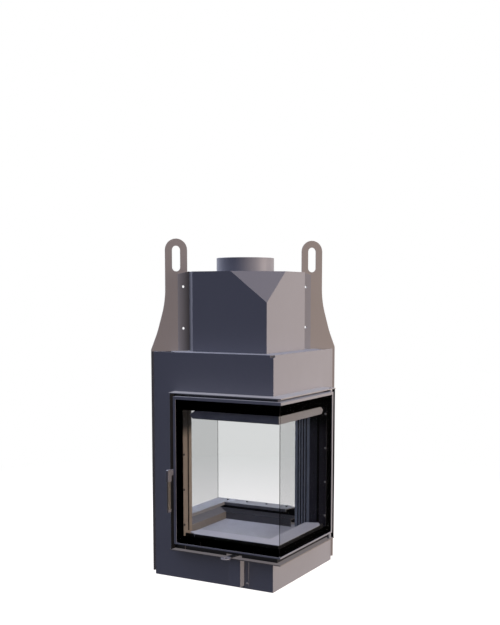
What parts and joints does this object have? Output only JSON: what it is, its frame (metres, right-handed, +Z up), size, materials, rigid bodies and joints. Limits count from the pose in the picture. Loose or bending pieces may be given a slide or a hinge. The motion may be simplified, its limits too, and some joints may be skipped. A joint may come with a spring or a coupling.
{
  "type": "corner fireplace insert",
  "caption": "See-through corner firebox in grey steel with two L-shaped hinged glass doors, smoke hood, flue collar, lifting plates and a ring air lever.",
  "frame": {"origin": "centre of the base, on the surface that the unit stands on", "axes": "+Z up; -Y is the front with the wide pane and the handle, +X the side that the front door wraps round to"},
  "size_m": [0.5756, 0.638, 1.163],
  "materials": {
    "grey_steel": "satin grey heat-resistant paint on sheet steel",
    "dark_steel": "matt dark grey heat-resistant paint",
    "handle_steel": "brushed steel of the door handles",
    "grip_coat": "dark heat-proof coat on the grips",
    "cast_lining": "matt cast lining",
    "vermiculite": null,
    "zinc_steel": "plain zinc-plated steel",
    "door_glass": "clear ceramic glass with a black printed border",
    "rope_seal": "dark braided glass-fibre rope"
  },
  "bodies": {
    "unit": {"base_plate": "dark_steel", "casing_front": "grey_steel", "casing_rear": "grey_steel", "deck_plate": "grey_steel", "lifting_plate_left": "grey_steel", "lifting_plate_right": "grey_steel", "hood_front": "grey_steel", "hood_rear": "grey_steel", "hood_top": "grey_steel", "flue_collar": "grey_steel", "hearth_floor": "grey_steel", "kerb_front": "grey_steel", "kerb_rear": "grey_steel", "sill_front": "grey_steel", "sill_rear": "grey_steel", "air_beam_front": "grey_steel", "air_beam_rear": "grey_steel", "jamb_front_latch": "dark_steel", "jamb_front_hinge": "dark_steel", "jamb_rear_latch": "dark_steel", "jamb_rear_hinge": "dark_steel", "post_lining_left": "cast_lining", "post_lining_right": "cast_lining", "surround_top_front": "grey_steel", "surround_top_rear": "grey_steel", "surround_bottom_front": "grey_steel", "surround_bottom_rear": "grey_steel", "surround_latch_side_front": "dark_steel", "surround_hinge_side_front": "dark_steel", "surround_latch_side_rear": "dark_steel", "surround_hinge_side_rear": "dark_steel", "front_hinge_bush_lower": "zinc_steel", "front_hinge_bush_upper": "zinc_steel", "rear_hinge_bush_lower": "zinc_steel", "rear_hinge_bush_upper": "zinc_steel", "air_rod_cover": "grey_steel", "smoke_baffle": "vermiculite", "baffle_rail_left": "dark_steel", "baffle_rail_right": "dark_steel"},
    "front_door": {"front_door_frame": "grey_steel", "front_door_wide_glass": "door_glass", "front_door_side_glass": "door_glass", "front_door_seal": "rope_seal", "front_hinge_pin_lower": "zinc_steel", "front_hinge_pin_upper": "zinc_steel", "front_handle_pivot": "zinc_steel"},
    "front_handle": {"front_handle_lever": "handle_steel", "front_handle_grip": "grip_coat"},
    "rear_door": {"rear_door_frame": "grey_steel", "rear_door_wide_glass": "door_glass", "rear_door_side_glass": "door_glass", "rear_door_seal": "rope_seal", "rear_hinge_pin_lower": "zinc_steel", "rear_hinge_pin_upper": "zinc_steel", "rear_handle_pivot": "zinc_steel"},
    "rear_handle": {"rear_handle_lever": "handle_steel", "rear_handle_grip": "grip_coat"},
    "air_lever": {"air_lever": "grey_steel", "air_rod": "zinc_steel"},
    "air_damper": {"air_damper": "zinc_steel"}
  },
  "joints": [
    {"name": "front_door_hinge", "type": "hinge", "parent": "unit", "child": "front_door", "pos_m": [0.279, 0.1085, 0.379], "axis": [0, 0, 1], "range_deg": [0, 95]},
    {"name": "front_handle_turn", "type": "hinge", "parent": "front_door", "child": "front_handle", "pos_m": [-0.12175, -0.279, 0.379], "axis": [-1, 0, 0], "range_deg": [0, 35]},
    {"name": "rear_door_hinge", "type": "hinge", "parent": "unit", "child": "rear_door", "pos_m": [-0.279, -0.1085, 0.379], "axis": [0, 0, 1], "range_deg": [0, 95]},
    {"name": "rear_handle_turn", "type": "hinge", "parent": "rear_door", "child": "rear_handle", "pos_m": [0.12175, 0.279, 0.379], "axis": [1, 0, 0], "range_deg": [0, 35]},
    {"name": "air_lever_turn", "type": "hinge", "parent": "unit", "child": "air_lever", "pos_m": [0.104, -0.246, 0.115], "axis": [0, 0, 1], "range_deg": [-20, 40]},
    {"name": "air_damper_slide", "type": "slide", "parent": "unit", "child": "air_damper", "axis": [1, 0, 0], "range_m": [-0.0269, 0.0136]}
  ],
  "couplings": [
    {"joint": "air_damper_slide", "follows": "air_lever_turn", "m_per_rad": -0.0382}
  ]
}
